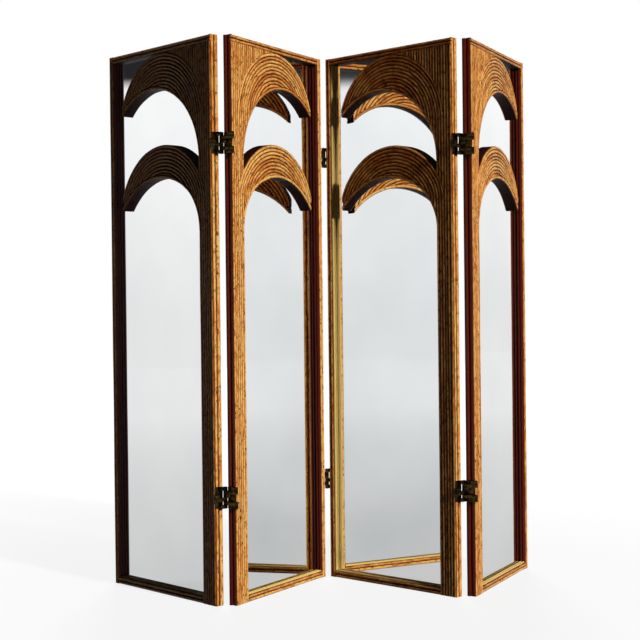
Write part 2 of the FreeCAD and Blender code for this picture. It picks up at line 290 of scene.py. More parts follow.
def panel_place(index):
    """The matrix of a panel's own frame, from the pivots of the CAD part's joints."""
    size = panels()
    back = size.depth + size.standoff
    joint, across, depth = (
        (0, size.width + size.flat_gap / 2, back),
        (0, -size.flat_gap / 2, back),
        (1, -size.flat_gap / 2, -size.standoff),
        (2, -size.flat_gap / 2, back),
    )[index]
    pivot = Vector(PIVOTS[joint])
    turn = Matrix.Rotation(math.radians(HEADINGS[index]), 4, "Z")
    return Matrix.Translation(pivot) @ turn @ Matrix.Translation((-across, -depth, 0))


def facing_place(index):
    """A panel's frame with X from its wide stile: panels 1 and 3 have theirs on the right."""
    if index % 2:
        return panel_place(index)
    flip = Matrix.Translation((panels().width, 0, 0)) @ Matrix.Scale(-1, 4, (1, 0, 0))
    return panel_place(index) @ flip


def put(obj, matrix, name):
    obj.matrix_world = matrix
    activate(obj)
    bpy.ops.object.transform_apply(location=True, rotation=True, scale=True)
    obj.name = name
    obj.data.name = name
    return closed(obj)


# Materials


WHITE = (1.0, 1.0, 1.0, 1.0)
BLACK = (0.0, 0.0, 0.0, 1.0)
MATH, NOISE = "ShaderNodeMath", "ShaderNodeTexNoise"
# A colour mix takes its factor and its two colours at sockets 0, 6 and 7
MIX, RAMP = "ShaderNodeMix", "ShaderNodeValToRGB"
# A map range turns its value at socket 0 from the range at 1 and 2 to the range at 3 and 4
RANGE = "ShaderNodeMapRange"


def new_material(name):
    material = bpy.data.materials.new(name)
    material.use_nodes = True
    tree = material.node_tree
    return material, tree, tree.nodes["Principled BSDF"]


def fill(tree, node, inputs):
    """Gives a node's sockets their values, or links them to a socket or a node's first output."""
    for key, value in inputs.items():
        if isinstance(value, bpy.types.Node):
            value = next(socket for socket in value.outputs if socket.enabled)
        if isinstance(value, bpy.types.NodeSocket):
            tree.links.new(value, node.inputs[key])
        else:
            node.inputs[key].default_value = value


def add(tree, kind, inputs=None, stops=(), **settings):
    """Adds a node with its settings, its links and, on a ramp, its stops of place and colour."""
    made = tree.nodes.new(kind)
    for key, value in settings.items():
        setattr(made, key, value)
    fill(tree, made, inputs or {})
    for index, (place, shade) in enumerate(stops):
        points = made.color_ramp.elements
        point = points[index] if index < len(points) else points.new(place)
        point.position, point.color = place, shade
    return made


def reed_material():
    """Lacquered split reed: amber and straw canes, burnt knots, dark grooves, a painted highlight
    along each crest, and a painted dark-red shade on some canes.
    """
    material, tree, shader = new_material("lacquered_split_reed")
    tone = add(tree, "ShaderNodeUVMap", uv_map="tone")
    own = add(tree, "ShaderNodeSeparateXYZ", {0: tone})
    first, second = own.outputs[0], own.outputs[1]
    place = add(tree, "ShaderNodeSeparateXYZ", {0: add(tree, "ShaderNodeUVMap", uv_map="along")})
    along, across = place.outputs[0], place.outputs[1]
    shifted = add(tree, MATH, {0: first, 1: 40.0, 2: along}, operation="MULTIPLY_ADD")
    spot = add(tree, "ShaderNodeCombineXYZ", {0: shifted, 1: across, 2: second})
    # Streaks run along a cane, 3 mm across and 25 mm long
    streak_spot = add(tree, "ShaderNodeMapping", {0: spot, "Scale": (40.0, 4.0, 60.0)})
    streaks = add(tree, NOISE, {"Vector": streak_spot, "Scale": 1.0, "Detail": 3.0})
    # A cane's colour drifts over about 100 mm
    drift_spot = add(tree, "ShaderNodeMapping", {0: spot, "Scale": (10.0, 0.3, 60.0)})
    drift = add(tree, NOISE, {"Vector": drift_spot, "Scale": 1.0, "Detail": 2.0})
    luck = add(tree, "ShaderNodeTexWhiteNoise", {"Vector": tone}, noise_dimensions="2D")
    drifted = add(tree, MATH, {0: drift, 1: 0.9}, operation="MULTIPLY")
    base = add(tree, MATH, {0: luck, 1: 0.55, 2: drifted}, operation="MULTIPLY_ADD")
    lowered = add(tree, MATH, {0: base, 1: 1.1}, operation="SUBTRACT")
    mixed = add(tree, MATH, {0: streaks, 1: 1.7, 2: lowered}, operation="MULTIPLY_ADD")
    browns = (
        (0.05, colours("reed_dark")),
        (0.4, colours("reed_mid")),
        (0.75, colours("reed_pale")),
    )
    cane = add(tree, RAMP, {0: mixed}, browns)
    # Knots stand about 110 mm apart, out of step from cane to cane and not all alike
    offset = add(tree, MATH, {0: first, 1: 17.0}, operation="MULTIPLY")
    steps = add(tree, MATH, {0: along, 1: 9.0, 2: offset}, operation="MULTIPLY_ADD")
    cell = add(tree, MATH, {0: steps}, operation="FLOOR")
    chance = add(
        tree, "ShaderNodeTexWhiteNoise", {"Vector": tone, "W": cell}, noise_dimensions="4D"
    )
    middle = add(tree, MATH, {0: chance, 1: 0.6, 2: 0.2}, operation="MULTIPLY_ADD")
    within = add(tree, MATH, {0: steps}, operation="FRACT")
    aside = add(tree, MATH, {0: within, 1: middle}, operation="SUBTRACT")
    away = add(tree, MATH, {0: aside}, operation="ABSOLUTE")
    rings = add(tree, RAMP, {0: away}, ((0.015, WHITE), (0.07, BLACK)))
    knots = add(tree, MATH, {0: rings, 1: streaks}, operation="MULTIPLY")
    # Burnt specks, 7 mm across and 11 mm long
    speck_spot = add(tree, "ShaderNodeMapping", {0: spot, "Scale": (90.0, 1.7, 60.0)})
    dust = add(tree, NOISE, {"Vector": speck_spot, "Scale": 1.0})
    specks = add(tree, RAMP, {0: dust}, ((0.61, BLACK), (0.68, WHITE)))
    faint = add(tree, MATH, {0: specks, 1: 0.85}, operation="MULTIPLY")
    marks = add(tree, MATH, {0: knots, 1: faint}, operation="MAXIMUM")
    # Painted highlight: each cane is paler along its crest, in place of the shine of its lacquer
    crest = add(tree, RAMP, {0: across}, ((0.36, BLACK), (0.5, WHITE), (0.64, BLACK)))
    crest_highlight = add(tree, MATH, {0: crest, 1: 0.5}, operation="MULTIPLY")
    highlighted = add(tree, MIX, {0: crest_highlight, 6: cane, 7: colours("reed_pale")}, data_type="RGBA")
    knotted = add(tree, MIX, {0: marks, 6: highlighted, 7: colours("knot")}, data_type="RGBA")
    # Each cane darkens towards its two sides, into the grooves between the canes
    flanks = (0.04, BLACK), (0.22, WHITE), (0.78, WHITE), (0.96, BLACK)
    open_part = add(tree, RAMP, {0: across}, flanks)
    stain = add(tree, MATH, {0: open_part, 1: -0.95, 2: 0.95}, operation="MULTIPLY_ADD")
    grooved = add(tree, MIX, {0: stain, 6: knotted, 7: colours("groove")}, data_type="RGBA")
    # Canes numbered below zero carry a painted dark-red shade, those above one are bare straw
    below = add(tree, MATH, {0: second, 1: 0.0}, operation="LESS_THAN")
    painted_shade_mask = add(tree, MATH, {0: below, 1: 0.97}, operation="MULTIPLY")
    above = add(tree, MATH, {0: second, 1: 1.0}, operation="GREATER_THAN")
    bare = add(tree, MATH, {0: above, 1: 0.75}, operation="MULTIPLY")
    with_painted_shade = add(tree, MIX, {0: painted_shade_mask, 6: grooved, 7: colours("painted_shade_red")}, data_type="RGBA")
    finished = add(tree, MIX, {0: bare, 6: with_painted_shade, 7: colours("straw")}, data_type="RGBA")
    ridges = add(tree, MATH, {0: streaks, 1: 0.4}, operation="MULTIPLY")
    height = add(tree, MATH, {0: marks, 1: 0.8, 2: ridges}, operation="MULTIPLY_ADD")
    inputs = {
        "Base Color": finished,
        "Roughness": add(tree, MATH, {0: streaks, 1: 0.3, 2: 0.2}, operation="MULTIPLY_ADD"),
        "IOR": 1.5,
        "Specular IOR Level": 0.16,
        "Normal": add(
            tree, "ShaderNodeBump", {"Strength": 0.6, "Distance": 0.0006, "Height": height}
        ),
    }
    fill(tree, shader, inputs)
    return material


def wood_material(name, light, dark, scale):
    """Wood under a thin finish, its grain along the axis with the least scale."""
    material, tree, shader = new_material(name)
    place = add(tree, "ShaderNodeTexCoord").outputs["Object"]
    spot = add(tree, "ShaderNodeMapping", {0: place, "Scale": scale})
    grain = add(tree, NOISE, {"Vector": spot, "Scale": 1.0, "Detail": 6.0, "Distortion": 0.4})
    inputs = {
        "Base Color": add(tree, RAMP, {0: grain}, ((0.3, colours(dark)), (0.7, colours(light)))),
        "Roughness": add(tree, MATH, {0: grain, 1: 0.2, 2: 0.5}, operation="MULTIPLY_ADD"),
        "Specular IOR Level": 0.12,
        "Normal": add(
            tree, "ShaderNodeBump", {"Strength": 0.25, "Distance": 0.0005, "Height": grain}
        ),
    }
    fill(tree, shader, inputs)
    return material


def mirror_material():
    """Silvered glass, a little clouded, which gives back the pale room."""
    material, tree, shader = new_material("silvered_mirror_glass")
    place = add(tree, "ShaderNodeTexCoord").outputs["Object"]
    # Clouds about 330 mm across
    cloud = add(tree, NOISE, {"Vector": place, "Scale": 3.0, "Detail": 2.0})
    tints = (0.3, colours("silver_dull")), (0.7, colours("silver"))
    inputs = {
        "Base Color": add(tree, RAMP, {0: cloud}, tints),
        "Metallic": 1.0,
        "Roughness": add(tree, MATH, {0: cloud, 1: 0.03, 2: 0.01}, operation="MULTIPLY_ADD"),
    }
    fill(tree, shader, inputs)
    return material


def metal_material(name, light, dark, scale, roughness):
    """Metal with a blotched tarnish that dulls the shine in places."""
    material, tree, shader = new_material(name)
    place = add(tree, "ShaderNodeTexCoord").outputs["Object"]
    patches = add(tree, NOISE, {"Vector": place, "Scale": scale, "Detail": 5.0})
    shine = {0: patches, 1: -0.2, 2: roughness}
    tints = (0.35, colours(dark)), (0.65, colours(light))
    inputs = {
        "Base Color": add(tree, RAMP, {0: patches}, tints),
        "Metallic": 1.0,
        "Roughness": add(tree, MATH, shine, operation="MULTIPLY_ADD"),
    }
    fill(tree, shader, inputs)
    return material


def mirror_glow(tree, path, glow):
    """A glow that only the eye sees in a mirror: the mirrors throw none of it on the canes."""
    direct = add(tree, MATH, {0: path["Diffuse Depth"], 1: 0.5}, operation="LESS_THAN")
    glossy = add(tree, MATH, {0: path["Is Glossy Ray"], 1: direct}, operation="MULTIPLY")
    return add(tree, MATH, {0: glossy, 1: glow}, operation="MULTIPLY")


def floor_material():
    """Pale seamless paper: it looks white all round and keeps a soft shadow near the screen."""
    material, tree, shader = new_material("pale_paper_floor")
    place = add(tree, "ShaderNodeTexCoord").outputs["Object"]
    # The paper's tooth is drawn 2.5 mm wide, coarser than it is, so that it shows
    tooth = add(tree, NOISE, {"Vector": place, "Scale": 400.0})
    greys = (0.3, colours("paper_dark")), (0.7, colours("paper"))
    paper = add(tree, RAMP, {0: tooth}, greys)
    path = add(tree, "ShaderNodeLightPath").outputs
    # It throws little light back up, so the faces turned from the key stay dark
    spread = {0: path["Is Diffuse Ray"], 6: paper, 7: colours("paper_bounce")}
    away = add(tree, "ShaderNodeVectorMath", {0: place}, operation="LENGTH")
    near = add(tree, RANGE, {0: away, 1: 1.0, 2: 5.0, 3: 0.84, 4: 1.0})
    plain = add(tree, MATH, {0: path["Is Camera Ray"], 1: near}, operation="MULTIPLY")
    # In the mirrors it runs without a step into the walls
    far = add(tree, RANGE, {0: away, 1: 1.0, 2: 9.0, 3: 0.52, 4: 0.73})
    mirrored = mirror_glow(tree, path, far)
    inputs = {
        "Base Color": add(tree, MIX, spread, data_type="RGBA"),
        "Roughness": 0.9,
        "Specular IOR Level": 0.1,
        "Emission Color": WHITE,
        "Emission Strength": add(tree, MATH, {0: plain, 1: mirrored}, operation="MAXIMUM"),
    }
    fill(tree, shader, inputs)
    return material


def finish_with(obj, material, slot):
    obj.data.materials.clear()
    obj.data.materials.append(material)


# Reeds, in a panel's own frame with X from its wide stile, Y from the crests to the back


class Arc:
    """Part of a circle in the panel's face; a sweep of 0 is the springing side, 90 the top."""

    def __init__(self, x, drop, radius, start, end):
        self.drop = drop
        self.centre = Vector((x, 0, panels().height - drop))
        self.radius = radius
        self.start = math.radians(start)
        self.end = math.radians(end)


def arches():
    """Outer and inner edge of the upper arch, then of the lower arch, past their cut ends."""
    # Each arc's middle, as its X and its drop from the top, radius and sweep, as in the CAD part
    return {
        "upper_outer": [Arc(0.286, 0.274, 0.25, 0, 165)],
        "upper_inner": [Arc(0.337, 0.412, 0.265, 0, 150)],
        "lower_outer": [Arc(0.186, 0.5441, 0.15, 0, 32.94), Arc(0.28, 0.605, 0.262, 32.94, 163)],
        "lower_inner": [Arc(0.252, 0.6497, 0.18, 0, 61.55), Arc(0.302, 0.742, 0.285, 61.55, 150)],
    }


def profile(width, rise):
    """Half a round cane in plan, its flat on Y 0 and its crest towards -Y; stays in edit mode."""
    bpy.ops.object.select_all(action="DESELECT")
    bpy.ops.mesh.primitive_circle_add(
        vertices=CANE_SIDES,
        radius=0.5,
        fill_type="NGON",
        enter_editmode=True,
        location=(0, 0, 0),
    )
    bpy.ops.mesh.select_all(action="SELECT")
    bpy.ops.mesh.bisect(plane_co=(0, 0, 0), plane_no=(0, 1, 0), clear_outer=True)
    bpy.ops.mesh.select_all(action="SELECT")
    bpy.ops.transform.resize(value=(width, 2 * rise, 1), center_override=(0, 0, 0))
    return bpy.context.object


def number_reed(obj, along, tones):
    """Writes the place along and across a cane, and its own two numbers, as UV maps."""
    mesh = obj.data
    place = mesh.uv_layers.new(name="along")
    tone = mesh.uv_layers.new(name="tone")
    for loop in mesh.loops:
        place.data[loop.index].uv = along(mesh.vertices[loop.vertex_index].co)
        tone.data[loop.index].uv = tones


def straight_reed(own, width, rise, run, start=0.0):
    """A straight cane from Z 0 to its length, its pattern begun at a start along it."""
    made = profile(width, rise)
    pieces = max(2, round(run / STRAIGHT_STEP))
    for _ in range(pieces):
        bpy.ops.mesh.extrude_region_move(TRANSFORM_OT_translate={"value": (0, 0, run / pieces)})
    end_outward()
    number_reed(made, lambda co: (co.z + start, co.x / width + 0.5), own)
    return made


def column(own, x, high_drop, low_drop, spring=0.0):
    """A vertical front cane between two drops; its pattern runs on from a springing's drop."""
    size, reed = panels(), reeds()
    width, run = reed.pitch - reed.groove, low_drop - high_drop
    made = straight_reed(own, width, reed.rise, run, spring - low_drop)
    made.location = (x + reed.pitch / 2, reed.rise, size.height - low_drop)
    return made


def rail_reed(own, x0, x1, z):
    reed = reeds()
    made = straight_reed(own, reed.pitch - reed.groove, reed.rise, x1 - x0)
    made.rotation_euler = (0, math.pi / 2, 0)
    made.location = (x0, reed.rise, z + reed.pitch / 2)
    return made


def sweep(edge, degrees, fewest):
    """Spins what is selected along an edge's arcs."""
    for arc in edge:
        span = arc.end - arc.start
        steps = max(fewest, round(math.degrees(span) / degrees))
        bpy.ops.mesh.spin(steps=steps, angle=span, center=arc.centre, axis=(0, -1, 0))


def bent_reed(own, edge, inset):
    """A cane bent along an edge, its outer side a given distance inside that edge."""
    reed = reeds()
    first = edge[0]
    made = profile(reed.pitch - reed.groove, reed.rise)
    start = first.centre.x - first.radius + inset + reed.pitch / 2
    bpy.ops.transform.translate(value=(start, reed.rise, first.centre.z))
    sweep(edge, BEND_DEGREES, 3)
    bpy.ops.mesh.select_all(action="SELECT")
    bpy.ops.mesh.remove_doubles(threshold=MERGE)
    end_outward()

    def along(co):
        before = 0.0
        for arc in edge:
            out = co - arc.centre
            turned = math.atan2(out.z, -out.x)
            middle = arc.radius - inset - reed.pitch / 2
            if turned <= arc.end or arc is edge[-1]:
                across = 0.5 - (math.hypot(out.x, out.z) - middle) / reed.pitch
                return before + middle * (turned - arc.start), across
            before += middle * (arc.end - arc.start)

    number_reed(made, along, own)
    return made


def space_below(edge, offset=0.0):
    """A solid that fills the panel's front under an arch edge."""
    first, last = edge[0], edge[-1]
    floor = min(arc.centre.z for arc in edge) - CUTTER_BELOW
    bpy.ops.object.select_all(action="DESELECT")
    bpy.ops.mesh.primitive_plane_add(size=0.01, enter_editmode=True, location=(0, 0, 0))
    bpy.ops.mesh.select_all(action="SELECT")
    bpy.ops.mesh.merge(type="CENTER")
    foot = (first.centre.x - first.radius - offset, -CUTTER_BEFORE, floor)
    bpy.ops.transform.translate(value=foot)
    bpy.ops.mesh.extrude_region_move(
        TRANSFORM_OT_translate={"value": (0, 0, first.centre.z - floor)}
    )
    sweep(edge, CUTTER_DEGREES, 8)
    drop = last.centre.z + (last.radius + offset) * math.sin(last.end) - floor
    bpy.ops.mesh.extrude_region_move(TRANSFORM_OT_translate={"value": (0, 0, -drop)})
    bpy.ops.mesh.select_all(action="SELECT")
    bpy.ops.mesh.remove_doubles(threshold=MERGE)
    bpy.ops.mesh.edge_face_add()
    bpy.ops.mesh.extrude_region_move(TRANSFORM_OT_translate={"value": (0, CUTTER_DEPTH, 0)})
    return end_outward()


def saw_off(obj, x):
    """Cuts away everything beyond a vertical line."""
    edit(obj)
    bpy.ops.mesh.bisect(
        plane_co=(x, 0, 0), plane_no=(1, 0, 0), use_fill=True, clear_outer=True
    )
    return end_edit()


def hand_laid(obj, seed):
    """Lets the canes stray a little and smooths their rounds."""
    edit(obj)
    bpy.ops.transform.vertex_random(offset=reeds().waver, uniform=0.0, normal=0.0, seed=seed)
    end_edit()
    activate(obj)
    bpy.ops.object.shade_smooth_by_angle(angle=CANE_SMOOTH)
    return obj


def reed_facing():
    """The front canes of one panel."""
    size, reed = panels(), reeds()
    dice = random.Random(FACING_SEED)
    pitch, top = reed.pitch, size.height
    edges = arches()
    tools = {
        "upper_outer": space_below(edges["upper_outer"]),
        "upper_inner": space_below(edges["upper_inner"], pitch),
        "lower_outer": space_below(edges["lower_outer"]),
        "lower_inner": space_below(edges["lower_inner"], pitch),
    }
    wide, outer, rail = STILE_REEDS * pitch, OUTER_REEDS * pitch, RAIL_REEDS * pitch
    far = size.width - rail
    # How far down the stile each edge springs from it
    upper_spring, upper_foot = edges["upper_outer"][0].drop, edges["upper_inner"][0].drop
    lower_spring, lower_foot = edges["lower_outer"][0].drop, edges["lower_inner"][0].drop
    arch_end = size.width - size.end_gap

    def own():
        return dice.random(), dice.random()

    # A cane bent over an arch runs on down the stile, so both parts have the same numbers
    upper = [own() for _ in range(UPPER_BENDS)]
    lower = [own() for _ in range(LOWER_BENDS)]
    plain = []
    groups = {name: [] for name in tools}
    for index in range(RAIL_REEDS):
        plain.append(rail_reed(own(), 0, far, top - (index + 1) * pitch))
        plain.append(rail_reed(own(), wide, far, index * pitch))
        plain.append(column(own(), far + index * pitch, 0, top))
    for index in range(OUTER_REEDS):
        plain.append(column(own(), index * pitch, rail, top))
    for index in range(SPANDREL_REEDS):
        x = outer + index * pitch
        groups["upper_outer"].append(column(own(), x, rail, upper_spring))
        if index < WHOLE_REEDS:
            groups["lower_outer"].append(
                column(upper[index], x, upper_spring, lower_spring, upper_spring)
            )
            plain.append(column(lower[index], x, lower_spring, top, lower_spring))
        elif index < FOOT_REEDS:
            groups["upper_inner"].append(
                column(upper[index], x, upper_spring, upper_foot, upper_spring)
            )
            groups["lower_inner"].append(
                column(lower[index], x, lower_spring, lower_foot, lower_spring)
            )
    # The stile's innermost cane starts again under each arch's foot
    last = wide - pitch
    groups["lower_outer"].append(
        column(upper[WHOLE_REEDS], last, upper_foot, lower_spring, upper_spring)
    )
    plain.append(column(lower[WHOLE_REEDS], last, lower_foot, top, lower_spring))
    for index, numbers in enumerate(upper):
        bent = bent_reed(numbers, edges["upper_outer"], index * pitch)
        groups["upper_inner"].append(saw_off(bent, arch_end))
    for index, numbers in enumerate(lower):
        bent = bent_reed(numbers, edges["lower_outer"], index * pitch)
        groups["lower_inner"].append(saw_off(bent, arch_end))
    for name in ("upper_inner", "lower_inner"):
        plain.append(saw_off(bent_reed(own(), edges[name], -pitch), arch_end))
    for name, group in groups.items():
        for cane in group:
            carve(cane, tools[name])
            if cane.data.polygons:
                plain.append(cane)
            else:
                discard(cane)
    discard(*tools.values())
    made = joined(plain, "reed_facing")
    # Carving leaves the vertices in no fixed order, and the waver goes by their order
    edit(made)
    bpy.context.scene.cursor.location = SORT_PLACE
    bpy.ops.mesh.sort_elements(type="CURSOR_DISTANCE", elements={"VERT"})
    end_edit()
    return hand_laid(made, FACING_WAVER_SEED)


# A cane's second number: below zero it carries a painted dark-red shade, above one it is bare
# straw
PAINTED_SHADE, STRAW = -1.0, 2.0
# For each panel, whether its far edge has hinges, and the finish of its near edge and lining; the
# dark red on edges and linings is painted shade
EDGES = (
    (False, None, PAINTED_SHADE),
    (True, PAINTED_SHADE, PAINTED_SHADE),
    (True, None, STRAW),
    (False, PAINTED_SHADE, PAINTED_SHADE),
)


def edge_canes(dice, far_hinged, edge_finish, lining_finish):
    """The canes on both edges of a panel and round the inside of its far and bottom sides."""
    size, reed = panels(), reeds()
    # The edge canes start just behind the front canes' crests
    front = reed.groove * 3
    width = (size.depth - front) / EDGE_REEDS
    room = size.hinge_half + reed.hinge_room
    middles = (size.hinge_inset, size.height - size.hinge_inset)
    cuts = [z + side * room for z in middles for side in (-1, 1)]
    made = []

    def upright(x, y, low, high, wide, rise, turn, finish=None):
        own = dice.random(), finish or dice.random()
        cane = straight_reed(own, wide - reed.groove, rise, high - low)
        cane.rotation_euler = (0, 0, turn)
        cane.location = (x, y, low)
        made.append(cane)

    # The near edge's canes may carry the painted dark-red shade
    for x, turn, hinged, finish in (
        (reed.rise, -math.pi / 2, True, edge_finish),
        (size.width - reed.rise, math.pi / 2, far_hinged, None),
    ):
        ends = [0.0] + (cuts if hinged else []) + [size.height]
        for index in range(EDGE_REEDS):
            y = front + width * (index + 0.5)
            for low, high in zip(ends[0::2], ends[1::2]):
                upright(x, y, low, high, width, reed.rise, turn, finish)
    lining = (size.glass_front - reed.rise) / LINING_REEDS
    rail, wide = RAIL_REEDS * reed.pitch, STILE_REEDS * reed.pitch
    far = size.width - rail
    for index in range(LINING_REEDS):
        y = reed.rise + lining * (index + 0.5)
        # The lining's canes may carry the painted dark-red shade
        upright(
            far, y, rail, size.height - rail, lining, reed.lining_rise, -math.pi / 2, lining_finish
        )
        # Along the bottom rail, crest up
        own = dice.random(), STRAW
        sill = straight_reed(
            own, lining - reed.groove, reed.lining_rise, far - reed.lining_rise - wide
        )
        lying = Matrix(((0, 0, 1), (-1, 0, 0), (0, -1, 0))).to_4x4()
        sill.matrix_world = Matrix.Translation((wide, y, rail)) @ lying
        made.append(sill)
    return hand_laid(joined(made, "edge_canes"), EDGE_WAVER_SEED)


# How far a cane's numbers move on from panel to panel, and how the second one is spread first
TONE_SHIFT, TONE_SPREAD = 0.31, 3.7


def retone(obj, shift):
    """Gives a copy's canes numbers of their own, so that no two panels match."""
    layer = obj.data.uv_layers["tone"]
    for item in layer.data:
        item.uv = ((item.uv.x + shift) % 1.0, (item.uv.y * TONE_SPREAD + shift) % 1.0)


# Hinges, round the middle of the gap between two panels in line: X from the left panel to the
# right, Y from the crests to the back


def softened(obj, width):
    """Rounds the sharp edges."""
    round_off = obj.modifiers.new("round", "BEVEL")
    round_off.width = width
    round_off.segments = 2
    round_off.limit_method = "ANGLE"
    activate(obj)
    bpy.ops.object.modifier_apply(modifier=round_off.name)
    bpy.ops.object.shade_smooth_by_angle(angle=METAL_SMOOTH)
    return obj


def block(low, high):
    """A metal block between two corners."""
    low, high = Vector(low), Vector(high)
    bpy.ops.object.select_all(action="DESELECT")
    bpy.ops.mesh.primitive_cube_add(size=1, enter_editmode=True, location=(0, 0, 0))
    bpy.ops.mesh.select_all(action="SELECT")
    bpy.ops.transform.resize(value=high - low, center_override=(0, 0, 0))
    bpy.ops.transform.translate(value=(low + high) / 2)
    return softened(end_edit(), hinges().edge)


def link(radius, front, back, low, high):
    """A bar with round ends from a front line to a back line."""
    bpy.ops.object.select_all(action="DESELECT")
    bpy.ops.mesh.primitive_circle_add(
        vertices=KNUCKLE_SIDES,
        radius=radius,
        fill_type="NGON",
        enter_editmode=True,
        location=(0, front, low),
    )
    made = bpy.context.object
    pick(made, lambda co: co.y > 0)
    bpy.ops.transform.translate(value=(0, back - front, 0))
    bpy.ops.mesh.select_all(action="SELECT")
    bpy.ops.mesh.extrude_region_move(TRANSFORM_OT_translate={"value": (0, 0, high - low)})
    return softened(end_outward(), hinges().edge)


def pivot_lines():
    """The front and the back line of pivots."""
    size = panels()
    return -size.standoff, size.depth + size.standoff


# A leaf's screws: how far from the crests, and how far over the hinge's middle
SCREWS = (0.010, 0.030), (0.010, -0.030), (0.025, 0.006)


def screw_head(y, z):
    """A slotted head, sunk into the left leaf and just proud of its face."""
    metal = hinges()
    face = -metal.plate_face + metal.play
    bpy.ops.object.select_all(action="DESELECT")
    bpy.ops.mesh.primitive_cylinder_add(
        vertices=PIN_SIDES,
        radius=metal.screw,
        depth=2 * metal.edge,
        location=(face - metal.edge, y, z),
        rotation=(0, math.pi / 2, 0),
    )
    head = joined([bpy.context.object], "screw_head")
    bpy.ops.object.select_all(action="DESELECT")
    bpy.ops.mesh.primitive_cube_add(
        size=2, location=(face, y, z), scale=(metal.play, 2 * metal.screw, metal.slot)
    )
    slot = joined([bpy.context.object], "slot")
    carve(head, slot)
    discard(slot)
    return head


def hinge_leaf():
    """The leaf on the left panel: a middle knuckle in front, two outer knuckles behind."""
    size, metal = panels(), hinges()
    front, back = pivot_lines()
    top, margin = size.hinge_half, metal.plate_margin
    made = [
        block(
            (-metal.plate_back, margin, -top), (-metal.plate_face, size.depth - margin, top)
        )
    ]
    clear = metal.outer + metal.play
    for line, sign, low, high in (
        (front, 1, metal.play, metal.middle),
        (back, -1, clear, top),
        (back, -1, -top, -clear),
    ):
        root = line + sign * metal.arm
        made.append(link(metal.knuckle, min(line, root), max(line, root), low, high))
        made.append(
            block(
                (-metal.plate_face - metal.edge * 2, root - metal.foot, low),
                (0, root + metal.foot, high),
            )
        )
    made += [screw_head(y, z) for y, z in SCREWS]
    return joined(made, "hinge_leaf")


def hinge_pin():
    """A pin with rounded ends on Z."""
    metal = hinges()
    end = metal.edge * 2
    reach = panels().hinge_half + end
    bpy.ops.object.select_all(action="DESELECT")
    bpy.ops.mesh.primitive_circle_add(
        vertices=PIN_SIDES,
        radius=metal.pin,
        fill_type="NGON",
        enter_editmode=True,
        location=(0, 0, -reach),
    )
    bpy.ops.mesh.extrude_region_move(TRANSFORM_OT_translate={"value": (0, 0, 2 * reach)})
    return softened(end_outward(), end)


def hinge_parts(back_pin):
    """The five parts of a hinge, with the pin on its back or its front line."""
    metal = hinges()
    front, back = pivot_lines()
    left = hinge_leaf()
    right = copied(left)
    # The right leaf is the left one turned half round in the middle of the panel's depth
    right.location = (0, panels().depth, 0)
    right.rotation_euler = (0, 0, math.pi)
    pin = hinge_pin()
    pin.location.y = back if back_pin else front
    straps = [
        link(metal.knuckle, front, back, low, high)
        for low, high in (
            (metal.middle + metal.play, metal.outer),
            (-metal.outer, -metal.middle - metal.play),
        )
    ]
    return {
        "left_leaves": left,
        "right_leaves": joined([right], "right"),
        "middle_straps": joined([link(metal.knuckle, front, back, -metal.middle, 0)], "strap"),
        "outer_straps": joined(straps, "straps"),
        "pins": joined([pin], "pin"),
    }


# Operators


class SCREEN_OT_facings(bpy.types.Operator):
    """Lays the split canes on the fronts of the four panels"""

    bl_idname = "screen.facings"
    bl_label = "Reed facings"

    def execute(self, context):
        material = reed_material()
        pattern = reed_facing()
        for index in range(len(HEADINGS)):
            name = "panel_%d_reed_facing" % (index + 1)
            piece = put(copied(pattern), facing_place(index), name)
            retone(piece, TONE_SHIFT * index)
            finish_with(piece, material, "reed")
            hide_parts("panel_%d_front_reeds" % (index + 1))
            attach(piece, "panel_%d" % (index + 1))
        discard(pattern)
        return {"FINISHED"}


class SCREEN_OT_edges(bpy.types.Operator):
    """Lays the canes on the panels' edges and inside their narrow stiles"""

    bl_idname = "screen.edges"
    bl_label = "Edge reeds"

    def execute(self, context):
        material = bpy.data.materials["lacquered_split_reed"]
        for index, kinds in enumerate(EDGES):
            name = "panel_%d_edge_canes" % (index + 1)
            canes = edge_canes(random.Random(EDGE_SEED + index), *kinds)
            piece = put(canes, facing_place(index), name)
            finish_with(piece, material, "reed")
            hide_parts("panel_%d_edge_reeds" % (index + 1))
            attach(piece, "panel_%d" % (index + 1))
        return {"FINISHED"}


class SCREEN_OT_frames(bpy.types.Operator):
    """Finishes the frames, arch boards, mirrors and back boards"""

    bl_idname = "screen.frames"
    bl_label = "Frames and mirrors"

    def execute(self, context):
        # Grain 14 mm wide and 200 or 125 mm long, and on the back boards 17 by 250 mm
        upright = wood_material("stained_wood_upright", "wood", "wood_dark", (70, 70, 5))
        level = wood_material("stained_wood_level", "wood", "wood_dark", (8, 8, 70))
        ply = wood_material("birch_plywood_back", "ply", "ply_dark", (60, 60, 4))
        mirror = mirror_material()
        finishes = {
            "wide_stile": (upright, "frame_wood"),
            "narrow_stile": (upright, "frame_wood"),
            "top_rail": (level, "frame_wood"),
            "bottom_rail": (level, "frame_wood"),
            "upper_arch_board": (level, "arch_board"),
            "lower_arch_board": (level, "arch_board"),
            "mirror": (mirror, "mirror_glass"),
            "backing_board": (ply, "back_plywood"),
        }
        for index in range(len(HEADINGS)):
            for piece, (material, slot) in finishes.items():
                node = frame["nodes"]["panel_%d_%s" % (index + 1, piece)]
                finish_with(node, material, slot)
        return {"FINISHED"}


